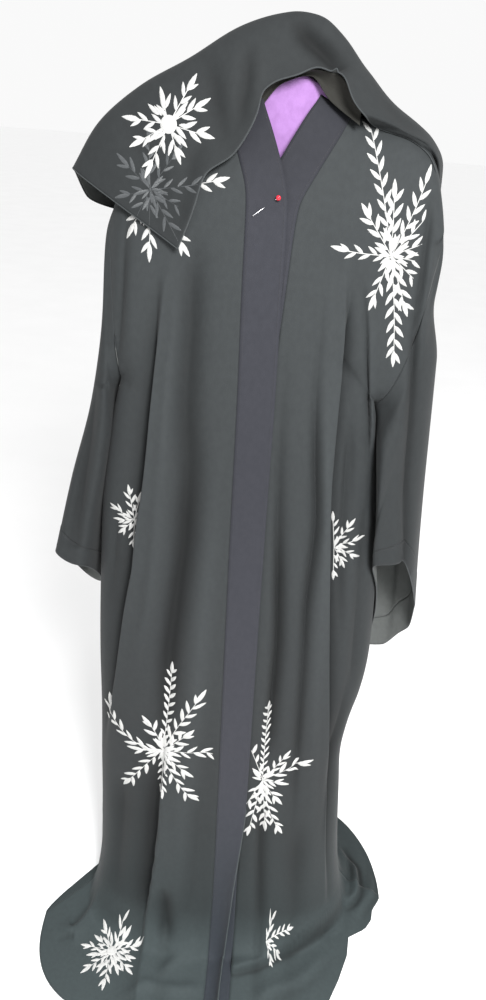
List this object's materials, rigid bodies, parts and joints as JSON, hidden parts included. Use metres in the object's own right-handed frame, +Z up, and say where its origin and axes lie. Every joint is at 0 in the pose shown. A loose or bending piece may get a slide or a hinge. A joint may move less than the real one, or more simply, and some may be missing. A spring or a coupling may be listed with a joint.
{
  "type": "abaya cloak with matching shawl on a hanger",
  "caption": "Long open-front crepe cloak with long sleeves and flat front bands, hung on a wooden hanger under its matching shawl, the hem lying on the floor.",
  "frame": {"origin": "inside of the hanger hook's top, where the rail or nail sits", "axes": "+Z up; -Y the cloak's front; +X the wearer's left"},
  "size_m": [0.684, 0.5719, 1.574],
  "materials": {
    "black_crepe": "matt pebbled crepe weave",
    "band_crepe": "matt crepe, doubled and pressed flat",
    "waxed_wood": "satin waxed",
    "steel_wire": "bright drawn wire",
    "lilac_cloth": "matt cotton",
    "red_bead": "glossy bead on a steel pin"
  },
  "bodies": {
    "root": {"back": "black_crepe", "front_right": "black_crepe", "front_left": "black_crepe", "band_right": "band_crepe", "band_left": "band_crepe", "band_neck": "band_crepe", "sleeve_right": "black_crepe", "sleeve_left": "black_crepe", "cuff_right": "band_crepe", "cuff_left": "band_crepe", "shawl_right_end": "black_crepe", "shawl_crown": "black_crepe", "shawl_left_end": "black_crepe", "hanger": "waxed_wood", "hanger_hook": "steel_wire", "hanger_cover": "lilac_cloth", "pin": "red_bead"}
  },
  "joints": []
}
